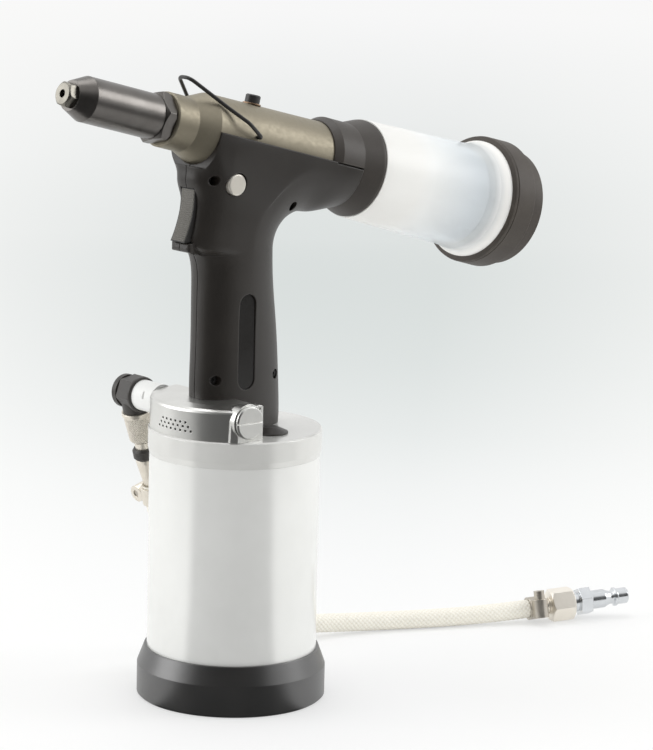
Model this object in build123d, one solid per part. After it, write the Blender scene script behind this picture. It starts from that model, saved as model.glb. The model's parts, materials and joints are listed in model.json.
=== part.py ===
from build123d import *
import math
import os

os.makedirs("parts", exist_ok=True)

# Frame: millimetres, Z up, origin at the middle of the boot's underside, nose towards -X,
# symmetry plane XZ. The head's own axis climbs towards the nose by HEAD_TILT.

# Fits and gaps
RUN = 0.06
SLIP = 0.1
GAP = 0.3

# Air cylinder, cover and boot
CYL_R = 50.0
BORE_R = 46.5
SEAT_STEP = 0.5
BOOT_R = 55.6
BOOT_FLOOR = 7.0
BOOT_EDGE_Z = 18.5
BOOT_LIP_Z = 29.3
BOOT_LIP_R = 51.5
BASE_Z = 11.0
BASE_T = 8.0
RING_T = 2.4
RING_DEPTH = 1.4
COVER_R = 50.9
COVER_LOW_Z = 145.3
COVER_BAND_Z = 148.8
COVER_TOP_Z = 161.0
SPIGOT_T = 9.0

# Air piston and plunger
PISTON_T = 12.0
ROD_R = 8.0
ROD_TOP_Z = 168.0
AIR_STROKE = 96.0
SEAL_W = 4.0
SEAL_DEPTH = 3.0

# Oil tube in the handle
TUBE_R = 12.5
TUBE_BORE_R = 9.5
TUBE_TOP_Z = 300.0
GLAND_T = 14.0
BOSS_R = 14.6
BOSS_LOW_Z = 288.5
BOSS_SEAT_Z = 292.0

# Head, measured along its axis from the handle's axis, nose positive
HEAD_Z = 328.6
HEAD_TILT = 14.55
COLLAR_R = 15.9
COLLAR_FRONT = 60.0
CONE_FRONT = 45.0
MAIN_FRONT = 32.5
MAIN_R_FRONT = 20.7
MAIN_R_REAR = 21.6
MAIN_REAR = -55.0
HEAD_REAR = -66.0
HEAD_REAR_R = 19.5
CHAMBER_R = 17.0
CHAMBER_FRONT = 12.0
PULL_ROD_R = 7.0
PULL_FRONT = 5.0
PULL_T = 12.0
END_CAP_FRONT = -49.0
END_CAP_T = 12.0
MANDREL_R = 5.0
MANDREL_BORE_R = 3.4

# Nose
HOUSING_R = 12.95
HOUSING_BORE_R = 10.2
HOUSING_FRONT = 126.2
HOUSING_FRONT_R = 8.7
HOUSING_EDGE = 116.3
HOUSING_REAR = 46.0
NUT_AF = 27.0
NUT_FRONT = 67.6
TIP_FRONT = 131.6
TIP_AF = 13.0
TIP_FACE_R = 5.9
TIP_BORE_R = 2.3
TIP_THREAD_R = 5.5
TIP_REAR = 112.0
JAW_FRONT = 108.0
JAW_REAR = 73.0
JAW_THREAD = 6.0
JAW_CONE_REAR = 90.0
JAW_HOUSING_R = 9.8

# Bail, oil screw
BAIL_WIRE_R = 1.1
BAIL_S = 5.4
BAIL_V = 2.3
BAIL_ANGLE = 42.5
BAIL_SIDE = 23.6
BAIL_PIN_IN = 19.0
OIL_S = -2.6
OIL_SEAT_V = 20.9
OIL_R = 4.4
OIL_TOP_V = 26.6
OIL_WASHER_R = 5.4
OIL_WASHER_T = 0.8

# Rear collar, jar and cap
COLLAR_START = -54.2
COLLAR_RING_R = 25.0
COLLAR_IN_R = 21.4
FLARE_START = -76.0
FLANGE_R = 29.1
FLANGE_EDGE = -87.2
FLANGE_REAR = -90.0
SPIGOT_R = 27.0
SPIGOT_REAR = -98.0
JAR_WALL = 2.3
JAR_R_FRONT = 29.5
JAR_R_REAR = 31.9
JAR_STRAIGHT_END = -174.0
JAR_LIP_R = 35.85
JAR_LIP_FRONT = -189.0
JAR_END = -192.0
JAR_NECK_R = 26.2
CAP_R = 39.2
CAP_FRONT = -190.0
CAP_STEP = -208.0
CAP_STEP_R = 35.6
CAP_REAR = -219.0

# Grip
GRIP_WALL = 2.4
GRIP_MID_X = -6.0
SEAM = 0.4
FAN_TOP = 16.0
ARM_GAP = 0.9
BLEND_X = 41.8
BLEND_Z = 264.5
BLEND_R = 19.5
PANEL_FRONT = -27.0
TRIGGER_HALF = 6.2
TRIGGER_TOP = 303.2
TRIGGER_LOW = 272.9
TRIGGER_PIN_X = -30.8
TRIGGER_PIN_Z = 298.4
TRIGGER_PIN_R = 1.5
TRIGGER_STROKE = 3.5
TRIGGER_BACK_X = -34.6
BUTTON_X = -18.6
BUTTON_Z = 306.0
BUTTON_R = 6.3
BUTTON_FACE_Y = -20.8
BUTTON_STROKE = 3.0
SCREW_HEAD_R = 2.6
SCREW_HOLE_R = 2.9
SCREW_R = 1.5
SCREW_BOSS_R = 4.4
LABEL_X = -5.5
LABEL_Z = 213.3
LABEL_LENGTH = 56.0
LABEL_WIDTH = 12.4
LABEL_FLOOR_Y = -14.4
LABEL_T = 0.7

# Valve block, spool axis along Y
SPOOL_X = -24.0
SPOOL_Z = 172.4
SPOOL_R = 6.6
BLOCK_BACK_X = -13.2
BLOCK_TOP_Z = 180.6
BLOCK_ARC_R = 49.9
BLOCK_END = 40.4
BLOCK_FAR = 38.5
RIDGE_R = 10.5
PLUG_R = 9.7
PLUG_FACE_Y = -42.7
PLUG_IN_Y = -33.0
PERF_R = 0.75
PERF_PITCH = 3.75
SILENCER_R = 47.6
SILENCER_BACK_X = -40.0

# Inlet fittings
SLEEVE_R = 9.1
SLEEVE_END = 56.5
SWIVEL_R = 10.6
SWIVEL_END = 75.0
SWIVEL_AF = 18.6
SWIVEL_Y = 65.7
SPIGOT_IN_R = 6.0
DROP_WAY = (0.3, 0.07, -1.0)
KNURL_TOP = 11.3
KNURL_END = 32.0
KNURL_R_TOP = 9.4
KNURL_R_END = 7.9
DARK_RING_TOP = 36.0
DARK_RING_END = 43.2
DARK_RING_R = 7.5
TAPER_END = 60.0
TAPER_R_TOP = 6.6
TAPER_R_END = 4.6
HOSE_START = 61.0
CLAMP_W = 11.0
CLAMP_BARREL = 12.0
CLAMP_HEAD_T = 5.4

# Hose and its far fittings
HOSE_R = 6.0
HOSE_BORE_R = 4.0
CLAMP_R = 7.3
FAR_NUT_AF = 19.0
PLUG_HEX_AF = 16.0
PLUG_SHANK_R = 6.0

tilt = math.radians(HEAD_TILT)
nose_way = (-math.cos(tilt), 0, math.sin(tilt))
up_way = (math.sin(tilt), 0, math.cos(tilt))
HEAD = Plane(origin=(0, 0, HEAD_Z), x_dir=up_way, z_dir=nose_way).location
DROP = Plane(origin=(SPOOL_X, SWIVEL_Y, SPOOL_Z), x_dir=(0, 1, 0), z_dir=DROP_WAY).location
SPOOL = Plane(origin=(SPOOL_X, 0, SPOOL_Z), x_dir=(1, 0, 0), z_dir=(0, 1, 0)).location


def turned(points):
    """Round body about Z from (height, radius) points of one closed outline."""
    outline = Polyline(*[(r, 0, t) for t, r in points], close=True)
    return revolve(make_face(outline), Axis.Z)


def rod(low, high, r):
    return Pos(0, 0, (low + high) / 2) * Cylinder(r, high - low)


def tube(low, high, r_out, r_in):
    return rod(low, high, r_out) - rod(low - 1, high + 1, r_in)


def hexagon(low, high, across_flats, turn=0.0):
    sketch = RegularPolygon(across_flats / 2, 6, major_radius=False)
    return Pos(0, 0, low) * Rot(0, 0, turn) * extrude(sketch, high - low)


def box(x0, x1, y0, y1, z0, z1):
    return Pos((x0 + x1) / 2, (y0 + y1) / 2, (z0 + z1) / 2) * Box(x1 - x0, y1 - y0, z1 - z0)


def along_y(x, z, y0, y1, r):
    return Pos(x, (y0 + y1) / 2, z) * Rot(90, 0, 0) * Cylinder(r, y1 - y0)


def along_x(y, z, x0, x1, r):
    return Pos((x0 + x1) / 2, y, z) * Rot(0, 90, 0) * Cylinder(r, x1 - x0)


def coil(low, high, r, wire_r, turns):
    """Compression spring about Z between two planes."""
    height = high - low - 2 * wire_r
    path = Helix(pitch=height / turns, height=height, radius=r)
    section = Plane(origin=path @ 0, z_dir=path % 0) * Circle(wire_r)
    return Pos(0, 0, low + wire_r) * sweep(section, path)


def save(solid, name):
    export_step(solid, "parts/" + name + ".step")


# Rubber boot: cup under the cylinder
boot = turned([(0, 0), (0, BOOT_R - 1.2), (1.2, BOOT_R), (BOOT_EDGE_Z, BOOT_R),
               (BOOT_LIP_Z, BOOT_LIP_R), (BOOT_LIP_Z, CYL_R), (BOOT_FLOOR, CYL_R), (BOOT_FLOOR, 0)])
save(boot, "rubber_boot")

# Air cylinder: plain tube, stepped bore for the base, groove for the snap ring
step_z = BASE_Z + BASE_T
step_r = BORE_R + SEAT_STEP
groove_r = step_r + RING_DEPTH
cylinder = turned([(BOOT_FLOOR, step_r), (BOOT_FLOOR, CYL_R), (COVER_LOW_Z, CYL_R), (COVER_LOW_Z, BORE_R),
                   (step_z, BORE_R), (step_z, step_r), (BASE_Z, step_r), (BASE_Z, groove_r),
                   (BASE_Z - RING_T, groove_r), (BASE_Z - RING_T, step_r)])
save(cylinder, "air_cylinder")

base = turned([(BASE_Z, 0), (BASE_Z, step_r), (step_z, step_r), (step_z, 30), (step_z - 3, 28),
               (step_z - 3, 0)])
save(base, "base_plate")

snap = tube(BASE_Z - RING_T, BASE_Z, groove_r, step_r - 4) - box(step_r - 6, CYL_R, -6, 6, 0, BASE_Z + 1)
save(snap, "snap_ring")

# Cover: spigot in the bore, flared band, bore for the oil tube
spigot_z = COVER_LOW_Z - SPIGOT_T
cover = turned([(spigot_z, TUBE_R), (spigot_z, BORE_R), (COVER_LOW_Z, BORE_R), (COVER_LOW_Z, CYL_R + 0.1),
                (COVER_BAND_Z, COVER_R), (COVER_TOP_Z - 0.8, COVER_R), (COVER_TOP_Z, COVER_R - 0.8),
                (COVER_TOP_Z, TUBE_R)])
save(cover, "cylinder_cover")

# Air piston with its seal, and the plunger rod it drives up into the oil tube
piston_z = step_z + 1
piston_top = piston_z + PISTON_T
piston_r = BORE_R - 0.5
seal_low = piston_z + (PISTON_T - SEAL_W) / 2
piston = turned([(piston_z, 0), (piston_z, piston_r - 1), (piston_z + 1, piston_r), (seal_low, piston_r),
                 (seal_low, piston_r - SEAL_DEPTH), (seal_low + SEAL_W, piston_r - SEAL_DEPTH),
                 (seal_low + SEAL_W, piston_r), (piston_top - 1, piston_r), (piston_top, piston_r - 1),
                 (piston_top, 0)])
piston -= rod(piston_z - 1, piston_top + 1, ROD_R - 3)
save(piston, "air_piston")
save(tube(seal_low, seal_low + SEAL_W, BORE_R - RUN, piston_r - SEAL_DEPTH), "air_piston_seal")
plunger = rod(piston_top, ROD_TOP_Z - 1, ROD_R) + rod(piston_z, piston_top, ROD_R - 3)
plunger += turned([(ROD_TOP_Z - 1, 0), (ROD_TOP_Z - 1, ROD_R), (ROD_TOP_Z, ROD_R - 1), (ROD_TOP_Z, 0)])
save(plunger, "plunger_rod")

# Oil tube: screwed up into the head's boss, gland at its foot
gland_z = spigot_z + GLAND_T
oil_tube = turned([(spigot_z, ROD_R + RUN), (spigot_z, TUBE_R), (TUBE_TOP_Z, TUBE_R),
                   (TUBE_TOP_Z, TUBE_BORE_R),
                   (gland_z, TUBE_BORE_R), (gland_z, ROD_R + RUN)])
seal_r = ROD_R + 2.6
oil_tube -= rod(spigot_z + 5, spigot_z + 5 + SEAL_W, seal_r)
save(oil_tube, "oil_tube")
save(tube(spigot_z + 5, spigot_z + 5 + SEAL_W, seal_r, ROD_R + RUN), "rod_seal")

# Head body: turned body with chamber, plus the upright boss that takes the oil tube
head_outer = HEAD * turned([(COLLAR_FRONT, 0), (COLLAR_FRONT, COLLAR_R - 0.6), (COLLAR_FRONT - 0.6, COLLAR_R),
                            (CONE_FRONT, COLLAR_R), (MAIN_FRONT, MAIN_R_FRONT), (MAIN_REAR, MAIN_R_REAR),
                            (MAIN_REAR, HEAD_REAR_R), (HEAD_REAR, HEAD_REAR_R), (HEAD_REAR, 0)])
boss = rod(BOSS_LOW_Z, HEAD_Z, BOSS_R)
boss_bore = rod(BOSS_LOW_Z - 1, TUBE_TOP_Z, TUBE_R)
port_place = Plane(origin=(-2, 0, TUBE_TOP_Z - 2), x_dir=(0, 1, 0), z_dir=(-0.5, 0, 0.866)).location
port = port_place * rod(0, 22, 2.2)
head_bore = HEAD * turned([(HEAD_REAR - 1, 0), (HEAD_REAR - 1, CHAMBER_R), (CHAMBER_FRONT, CHAMBER_R),
                           (CHAMBER_FRONT, PULL_ROD_R + RUN), (HOUSING_REAR, PULL_ROD_R + RUN),
                           (HOUSING_REAR, HOUSING_R), (COLLAR_FRONT + 1, HOUSING_R), (COLLAR_FRONT + 1, 0)])
bail_holes = HEAD * (Pos(BAIL_V, 0, BAIL_S) * Rot(90, 0, 0) * Cylinder(BAIL_WIRE_R + RUN, 60))
bail_holes -= HEAD * (Pos(BAIL_V, 0, BAIL_S) * Box(8, 2 * BAIL_PIN_IN - 0.6, 8))
oil_seat = HEAD * (Pos(OIL_SEAT_V + 5, 0, OIL_S) * Rot(0, 90, 0) * Cylinder(OIL_WASHER_R + GAP, 10))
oil_hole = HEAD * (Pos(CHAMBER_R + 3, 0, OIL_S) * Rot(0, 90, 0) * Cylinder(2.5, 12))
head_body = head_outer + boss - boss_bore - head_bore - port - bail_holes - oil_seat - oil_hole
save(head_body, "head_body")

# Oil screw and its copper washer, on the top of the head
washer_place = Pos(OIL_SEAT_V + OIL_WASHER_T / 2, 0, OIL_S) * Rot(0, 90, 0)
washer = HEAD * (washer_place * Cylinder(OIL_WASHER_R, OIL_WASHER_T))
washer -= oil_hole
save(washer, "oil_screw_washer")
head_low = OIL_SEAT_V + OIL_WASHER_T
oil_screw = Pos((head_low + OIL_TOP_V) / 2, 0, OIL_S) * Rot(0, 90, 0) * Cylinder(OIL_R, OIL_TOP_V - head_low)
oil_screw = chamfer(oil_screw.edges().sort_by(Axis.X)[-1], 0.6)
stem_place = Pos((head_low + CHAMBER_R + 0.6) / 2, 0, OIL_S) * Rot(0, 90, 0)
oil_screw += stem_place * Cylinder(2.5, head_low - CHAMBER_R - 0.6)
socket = RegularPolygon(1.7, 6, major_radius=False)
oil_screw -= Pos(OIL_TOP_V - 3, 0, OIL_S) * Rot(0, 90, 0) * extrude(socket, 4)
save(HEAD * oil_screw, "oil_screw")

# Pull piston: one turned piece, rod forward to the jaws, hollow for the spent mandrels
pull_rear = PULL_FRONT - PULL_T
pull_r = CHAMBER_R - 0.4
pull_seal = PULL_FRONT - (PULL_T + SEAL_W) / 2
pull = turned([(JAW_REAR + JAW_THREAD, MANDREL_BORE_R), (JAW_REAR + JAW_THREAD, PULL_ROD_R - 1.5),
               (JAW_REAR, PULL_ROD_R - 1.5),
               (JAW_REAR, PULL_ROD_R), (PULL_FRONT, PULL_ROD_R), (PULL_FRONT, pull_r),
               (pull_seal + SEAL_W, pull_r), (pull_seal + SEAL_W, pull_r - SEAL_DEPTH),
               (pull_seal, pull_r - SEAL_DEPTH), (pull_seal, pull_r), (pull_rear, pull_r),
               (pull_rear, MANDREL_R), (pull_rear + 6, MANDREL_R), (pull_rear + 6, MANDREL_BORE_R)])
save(HEAD * pull, "pull_piston")
save(HEAD * tube(pull_seal, pull_seal + SEAL_W, CHAMBER_R - RUN, pull_r - SEAL_DEPTH), "pull_piston_seal")
save(HEAD * tube(HEAD_REAR - 2, pull_rear + 6, MANDREL_R, MANDREL_BORE_R), "mandrel_tube")
return_spring = coil(END_CAP_FRONT, pull_rear, 12.5, 1.4, 5.5)
save(HEAD * return_spring, "return_spring")
end_cap = turned([(END_CAP_FRONT, MANDREL_R + GAP), (END_CAP_FRONT, CHAMBER_R),
                  (END_CAP_FRONT - END_CAP_T, CHAMBER_R),
                  (END_CAP_FRONT - END_CAP_T, MANDREL_R + GAP)])
end_cap -= box(-12, 12, -1.5, 1.5, END_CAP_FRONT - END_CAP_T - 1, END_CAP_FRONT - END_CAP_T + 3)
save(HEAD * end_cap, "head_end_cap")

# Jaws in their conical housing
jaw_case = turned([(JAW_FRONT, 5.2), (JAW_FRONT, JAW_HOUSING_R - 1), (JAW_FRONT - 1, JAW_HOUSING_R),
                   (JAW_REAR, JAW_HOUSING_R), (JAW_REAR, PULL_ROD_R - 1.5),
                   (JAW_REAR + JAW_THREAD, PULL_ROD_R - 1.5),
                   (JAW_REAR + JAW_THREAD, 7.6), (JAW_CONE_REAR, 7.6)])
save(HEAD * jaw_case, "jaw_housing")
jaw_ring = turned([(JAW_FRONT - 3, 1.6), (JAW_FRONT - 3, 4.9), (JAW_CONE_REAR + 2, 6.5),
                   (JAW_CONE_REAR + 2, 1.6)])
jaw_slots = Part()
for k in range(3):
    jaw_slots += Rot(0, 0, 120 * k) * box(0, 12, -0.4, 0.4, JAW_CONE_REAR - 5, JAW_FRONT + 5)
save(HEAD * (jaw_ring - jaw_slots), "jaws")
pusher = turned([(JAW_CONE_REAR + 1.8, 2.6), (JAW_CONE_REAR + 1.8, 5.4), (JAW_CONE_REAR - 1, 7.2),
                 (JAW_CONE_REAR - 3, 7.2), (JAW_CONE_REAR - 3, 2.6)])
save(HEAD * pusher, "jaw_pusher")
save(HEAD * coil(JAW_REAR + JAW_THREAD, JAW_CONE_REAR - 3, 5.6, 0.7, 3), "jaw_spring")

# Nose housing, lock nut and nosepiece
nose = turned([(HOUSING_FRONT, TIP_THREAD_R), (HOUSING_FRONT, HOUSING_FRONT_R), (HOUSING_EDGE, HOUSING_R),
               (HOUSING_REAR, HOUSING_R), (HOUSING_REAR, HOUSING_BORE_R), (TIP_REAR, HOUSING_BORE_R),
               (TIP_REAR, TIP_THREAD_R)])
save(HEAD * nose, "nose_housing")
nut_corner = NUT_AF / math.sqrt(3)
nut_limit = turned([(NUT_FRONT, 0), (NUT_FRONT, NUT_AF / 2 - 0.3), (NUT_FRONT - 1.6, nut_corner + 0.2),
                    (COLLAR_FRONT + 2.4, nut_corner + 0.2), (COLLAR_FRONT, NUT_AF / 2 + 0.4),
                    (COLLAR_FRONT, 0)])
nut = hexagon(COLLAR_FRONT, NUT_FRONT, NUT_AF, 44) & nut_limit
nut -= rod(COLLAR_FRONT - 1, NUT_FRONT + 1, HOUSING_R)
save(HEAD * nut, "lock_nut")
tip_limit = turned([(TIP_FRONT, 0), (TIP_FRONT, TIP_FACE_R), (TIP_FRONT - 1.2, TIP_AF / 2 + 0.7),
                    (HOUSING_FRONT, TIP_AF / 2 + 1.2), (HOUSING_FRONT, 0)])
tip = (hexagon(HOUSING_FRONT, TIP_FRONT, TIP_AF, 20) & tip_limit) + rod(TIP_REAR, HOUSING_FRONT, TIP_THREAD_R)
tip += turned([(JAW_FRONT + 0.6, 0), (JAW_FRONT + 0.6, 3.6), (TIP_REAR, 4.4), (TIP_REAR, 0)])
tip -= rod(JAW_FRONT - 5, TIP_FRONT + 1, TIP_BORE_R)
save(HEAD * tip, "nosepiece")

# Bail: bent wire, both ends in the head's sides
bail_base = HEAD * Pos(BAIL_V, 0, BAIL_S)
pivot = bail_base.position
slope = math.radians(BAIL_ANGLE)
reach_way = Vector(-math.cos(slope), 0, math.sin(slope))


def bail_point(t, y):
    return pivot + reach_way * t + Vector(0, y, 0)


bail_half = [(0, BAIL_PIN_IN), (0, BAIL_SIDE + 1.2), (13, BAIL_SIDE + 1.8), (26, 17.4), (39, 10.8),
             (50.6, 4.8)]
bail_points = [bail_point(t, -y) for t, y in bail_half] + [bail_point(t, y) for t, y in reversed(bail_half)]
bail_line = FilletPolyline(*bail_points, radius=[2.4, 7, 9, 14, 6, 6, 14, 9, 7, 2.4])
bail = sweep(Plane(origin=bail_line @ 0, z_dir=bail_line % 0) * Circle(BAIL_WIRE_R), bail_line)
save(bail, "bail")

# Rear collar: ring over the head's tail, flared flange, register for the jar
collar = turned([(COLLAR_START, MAIN_R_REAR), (COLLAR_START, 22.4), (COLLAR_START - 5, COLLAR_RING_R),
                 (FLARE_START, COLLAR_RING_R), (FLANGE_EDGE - 0.4, FLANGE_R - 0.2),
                 (FLANGE_EDGE - 1.2, FLANGE_R),
                 (FLANGE_REAR, FLANGE_R - 0.2),
                 (FLANGE_REAR, SPIGOT_R), (SPIGOT_REAR, SPIGOT_R), (SPIGOT_REAR, SPIGOT_R - 2.5),
                 (HEAD_REAR, 14), (HEAD_REAR, HEAD_REAR_R), (MAIN_REAR, HEAD_REAR_R),
                 (MAIN_REAR, MAIN_R_REAR)])
lower_cut = turned([(COLLAR_START + 1, COLLAR_IN_R), (COLLAR_START + 1, 40), (FLARE_START, 40),
                    (FLARE_START, COLLAR_IN_R)])
lower_half = Pos(-30, 0, -60) * Box(60, 90, 60)
collar -= lower_cut & lower_half
save(HEAD * collar, "jar_collar")

# Collector jar: drafted tube with a flared lip; pull-off rubber cap
jar_front = FLANGE_REAR - SLIP
jar_in = JAR_R_REAR - JAR_WALL
neck_front = JAR_STRAIGHT_END - 6.6
jar = turned([(jar_front, SPIGOT_R + SLIP), (jar_front, JAR_R_FRONT), (JAR_STRAIGHT_END, JAR_R_REAR),
              (JAR_STRAIGHT_END - 9, JAR_R_REAR + 1.3), (JAR_LIP_FRONT, JAR_LIP_R), (JAR_END, JAR_LIP_R),
              (JAR_END, JAR_NECK_R), (neck_front - 1.8, JAR_NECK_R), (neck_front, JAR_NECK_R + 0.7),
              (neck_front + 2, JAR_NECK_R + 2.2), (neck_front + 4.6, jar_in - 0.2),
              (JAR_STRAIGHT_END, jar_in),
              (SPIGOT_REAR - 1, SPIGOT_R + SLIP)])
save(HEAD * jar, "collector_jar")
cap_in = JAR_LIP_R + SLIP
cap_plug_r = JAR_NECK_R - SLIP
cap = turned([(CAP_FRONT, cap_in), (CAP_FRONT - 0.9, CAP_R - 0.3), (CAP_FRONT - 2, CAP_R),
              (CAP_FRONT - 2.6, CAP_R - 0.7),
              (CAP_FRONT - 3.2, CAP_R), (CAP_STEP + 1.5, CAP_R + 0.2), (CAP_STEP, CAP_R - 1.2),
              (CAP_STEP, CAP_STEP_R),
              (CAP_REAR + 1.5, CAP_STEP_R), (CAP_REAR, CAP_STEP_R - 1.5), (CAP_REAR, 0), (CAP_REAR + 4, 0),
              (CAP_REAR + 4, cap_plug_r - 2.6), (neck_front + 0.4, cap_plug_r - 2.6),
              (neck_front + 0.4, cap_plug_r - 0.8),
              (neck_front - 0.6, cap_plug_r), (JAR_END - SLIP, cap_plug_r), (JAR_END - SLIP, cap_in)])
save(HEAD * cap, "jar_cap")

# Grip: one skin through stations, level up the handle, then fanned round the hollow behind it to the arm
handle_levels = [(COVER_TOP_Z, -31.5, 30.2, 16.0), (185, -31.1, 29.8, 16.0), (205, -30.7, 28.4, 16.0),
                 (225, -30.4, 26.2, 16.2), (240, -30.2, 24.1, 16.7), (253, -30.2, 22.75, 17.15)]
front_line = [(250, -30.2), (258, -30.4), (262, -31.4), (265, -33.6), (268.5, -38.4), (271.5, -41.2),
              (274.5, -41.0), (278.3, -40.0), (282.4, -38.9), (288.6, -37.6), (294.2, -37.2),
              (299.4, -37.6), (303, -38.8), (310, -39.6), (330, -40.0)]
fan_turns = [180, 177, 174, 170, 165, 160, 155, 150, 144, 134, 122, 108, 92, 90 - HEAD_TILT]
fan_base = Vector(BLEND_X, 0, BLEND_Z)
saddle_end = FLARE_START


def head_xz(s, v):
    p = HEAD * Pos(v, 0, s)
    return (p.position.X, 0, p.position.Z)


def below_head(place):
    """Height over the head's axis, square to it."""
    return place.X * up_way[0] + (place.Z - HEAD_Z) * up_way[2]


def station(base, way, rear, middle, front, half, flat, inset):
    """Closed section in the plane of way and Y: round at the rear, squarer towards the front."""
    points = []
    for k in range(36):
        c = math.cos(2 * math.pi * k / 36)
        s = math.sin(2 * math.pi * k / 36)
        along = middle - (middle - rear - inset) * c
        if c < 0:
            along = middle + (front - inset - middle) * abs(c) ** (2 / flat)
            s = math.copysign(abs(s) ** (2 / flat), s)
        place = base + way * along
        points.append(place + Vector(0, (half(place) - inset) * s, 0))
    count = len(points) // 2
    steps = [k / count for k in range(count + 1)]
    return Wire([Edge.make_spline(points[:count + 1], parameters=steps),
                 Edge.make_spline(points[count:] + points[:1], parameters=steps)])


def front_reach(way):
    """Distance from the fan's base to the front outline along a ray."""
    reach = 70.0
    while reach < 130.0:
        place = fan_base + way * reach
        for (z0, x0), (z1, x1) in zip(front_line, front_line[1:]):
            if z0 <= place.Z <= z1 and place.X <= x0 + (x1 - x0) * (place.Z - z0) / (z1 - z0):
                return reach
        reach += 0.05
    return reach


def skin(inset, low):
    sections = []
    for k, (z, front, rear, half) in enumerate(handle_levels):
        base = Vector(0, 0, low if k == 0 else z)
        sections.append(station(base, Vector(-1, 0, 0), -rear, -GRIP_MID_X, -front, lambda p, h=half: h,
                                2.3, inset))
    for turn in fan_turns:
        share = (180 - turn) / (90 + HEAD_TILT)
        way = Vector(math.cos(math.radians(turn)), 0, math.sin(math.radians(turn)))
        if turn > 148:
            front = front_reach(way)
        else:
            rise = way.X * up_way[0] + way.Z * up_way[2]
            front = min((FAN_TOP - below_head(fan_base)) / rise, (BLEND_X + 42) / max(-way.X, 0.1))
        flat = 2.3 + min(0.7, (180 - turn) / 10) + (1.0 if turn < 148 else 0)

        def half(place, q=share ** 2):
            t = min(max(1 + below_head(place) / 46, 0), 1)
            return (1 - q) * (17.3 + 6.7 * t * t * (3 - 2 * t)) + q * 24.4
        sections.append(station(fan_base, way, BLEND_R, BLEND_R + 28 + 4 * share, front, half, flat, inset))
    if inset == 0:
        way = Vector(*up_way)
        end = Vector(*head_xz(saddle_end - 1, 0)) - way * 60
        sections.append(station(end, way, 60 - 25.6, 60, 60 + FAN_TOP, lambda p: 25.2, 4.0, 0))
    count = len(handle_levels)
    return Solid.make_loft(sections[:count + 1]) + Solid.make_loft(sections[count:])


outer = skin(0, COVER_TOP_Z) & (HEAD * box(-260, 0, -60, 60, saddle_end, 120))
outer -= HEAD * box(-22, 60, -60, 60, MAIN_FRONT, MAIN_FRONT + 60)
outer -= HEAD * box(-ARM_GAP, 1, -60, 60, saddle_end - 1, COLLAR_START - 1.5)
ledge_top = TRIGGER_LOW - 0.5
ledge_line = Polyline((-29, 0, 262), (-33, 0, 264.8), (-37, 0, 266.2), (-41.8, 0, 266.9), (-43.3, 0, 267.7),
                      (-43.8, 0, 269.2), (-43.4, 0, 271.6), (-42.6, 0, ledge_top), (-29, 0, ledge_top),
                      close=True)
ledge_plan = Polyline((-29, -4), (-32, -5), (-40.5, -8.3), (-42.4, -8.2), (-43.4, -7.2), (-43.8, -5.6),
                      (-43.8, 5.6), (-43.4, 7.2), (-42.4, 8.2), (-40.5, 8.3), (-32, 5), (-29, 4), close=True)
ledge = extrude(make_face(ledge_line), 12, both=True) & Pos(0, 0, 255) * extrude(make_face(ledge_plan), 30)
grip = outer + ledge

# Room inside the grip
handle_room = box(-60, 60, -40, 40, 150, 262)
room = skin(GRIP_WALL, COVER_TOP_Z - 1) & (handle_room + box(PANEL_FRONT, 90, -40, 40, 262, 360))
head_room = HEAD * turned([(MAIN_FRONT + 30, 0), (MAIN_FRONT + 30, MAIN_R_FRONT), (MAIN_FRONT, MAIN_R_FRONT),
                           (MAIN_REAR, MAIN_R_REAR), (saddle_end - 1, MAIN_R_REAR), (saddle_end - 1, 0)])
block_room = box(-70, BLOCK_BACK_X, -60, 60, 150, BLOCK_TOP_Z)
slot_half = TRIGGER_HALF + GAP
slot = box(-60, PANEL_FRONT + 4, -slot_half, slot_half, TRIGGER_LOW - GAP, TRIGGER_TOP + GAP)
pin_hole = along_y(TRIGGER_PIN_X, TRIGGER_PIN_Z, -10, 10, TRIGGER_PIN_R)
button_hole = along_y(BUTTON_X, BUTTON_Z, -40, 0, BUTTON_R + 0.45)

# Screw places: x, z and the depth of the head's seat below the middle plane
screws = [(-31.6, 308.6, -7.0), (28.0, 289.6, -8.0), (-24.5, 192.0, -6.0), (20.5, 191.0, -6.0)]
posts = Part()
screw_holes = Part()
for x, z, seat in screws:
    posts += along_y(x, z, -30, 30, SCREW_BOSS_R)
    screw_holes += along_y(x, z, -40, seat, SCREW_HOLE_R) + along_y(x, z, seat, 9, SCREW_R)
obround = SlotOverall(LABEL_LENGTH, LABEL_WIDTH)
label_place = Plane(origin=(LABEL_X, LABEL_FLOOR_Y, LABEL_Z), x_dir=(0, 0, 1), z_dir=(0, -1, 0)).location
label_recess = label_place * extrude(obround, 10)

shell = grip - (room - posts) - head_room - block_room - slot - pin_hole - screw_holes
shell -= rod(250, 330, BOSS_R + GAP)
near_half = box(-120, 120, -60, -SEAM / 2, 100, 400)
far_half = box(-120, 120, SEAM / 2, 60, 100, 400)
for x, z, seat in screws:
    near_half += along_y(x, z, -1, 0, SCREW_BOSS_R - 0.8)
    far_half += along_y(x, z, 0, 1, SCREW_BOSS_R - 0.8)
left_shell = (shell & near_half) - button_hole - label_recess
right_shell = shell & far_half
save(left_shell, "grip_shell_left")
save(right_shell, "grip_shell_right")
save(label_place * extrude(SlotOverall(LABEL_LENGTH - 0.2, LABEL_WIDTH - 0.2), LABEL_T), "label_plate")

grip_screws = []
for x, z, seat in screws:
    screw = along_y(x, z, seat - 2.4, seat, SCREW_HEAD_R) + along_y(x, z, seat, 8.5, SCREW_R)
    screw -= along_y(x, z, seat - 3, seat - 1.2, 1.2)
    grip_screws.append(screw)
save(Compound(children=grip_screws), "grip_screws")

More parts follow.
